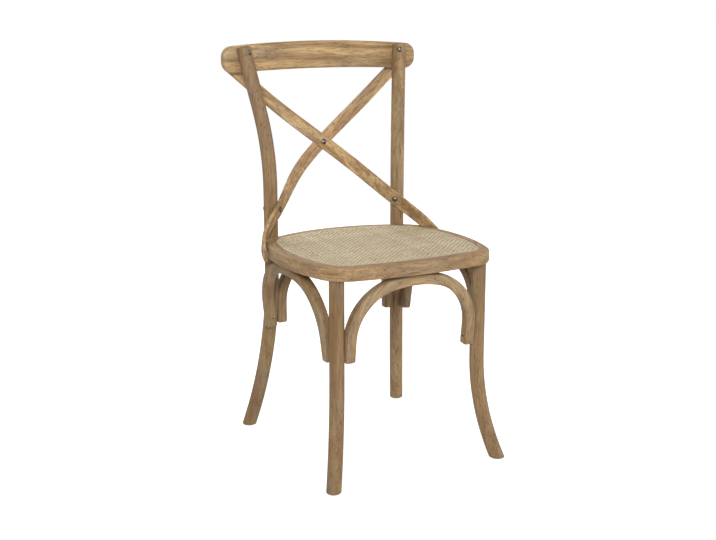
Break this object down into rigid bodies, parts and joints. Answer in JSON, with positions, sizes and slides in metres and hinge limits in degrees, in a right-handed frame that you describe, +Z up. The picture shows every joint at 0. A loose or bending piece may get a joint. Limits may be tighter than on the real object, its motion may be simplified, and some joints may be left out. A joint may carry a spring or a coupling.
{
  "type": "cross back dining chair",
  "caption": "Bentwood dining chair with crossed back straps, curved crest rail, woven cane seat and arched braces between splayed round legs.",
  "frame": {"origin": "centre of the footprint at floor level", "axes": "+Z up, -Y towards the front of the chair, +X to the chair's right hand side as seen from the front"},
  "size_m": [0.492, 0.5003, 0.9],
  "materials": {
    "frame_wood": "weathered oak, thin matt oil",
    "cane": "natural woven cane",
    "cane_spline": "natural reed",
    "antique_steel": "dark antique finish, burnished domes",
    "glide_plastic": "pale moulded plastic"
  },
  "bodies": {
    "root": {"seat_ring": "frame_wood", "cane_panel": "cane", "cane_spline": "cane_spline", "left_rear_post": "frame_wood", "right_rear_post": "frame_wood", "left_front_leg": "frame_wood", "right_front_leg": "frame_wood", "crest_rail": "frame_wood", "cross_strap_front": "frame_wood", "cross_strap_rear": "frame_wood", "front_arch": "frame_wood", "rear_arch": "frame_wood", "left_side_arch": "frame_wood", "right_side_arch": "frame_wood", "cross_bolt": "antique_steel", "cross_bolt_nut": "antique_steel", "crest_bolts": "antique_steel", "crest_bolt_nuts": "antique_steel", "crest_pins": "antique_steel", "strap_bolts": "antique_steel", "strap_bolt_nuts": "antique_steel", "seat_bolts": "antique_steel", "strap_top_screws": "antique_steel", "strap_end_screws": "antique_steel", "arch_end_screws": "antique_steel", "arch_top_screws": "antique_steel", "floor_glides": "glide_plastic"}
  },
  "joints": []
}
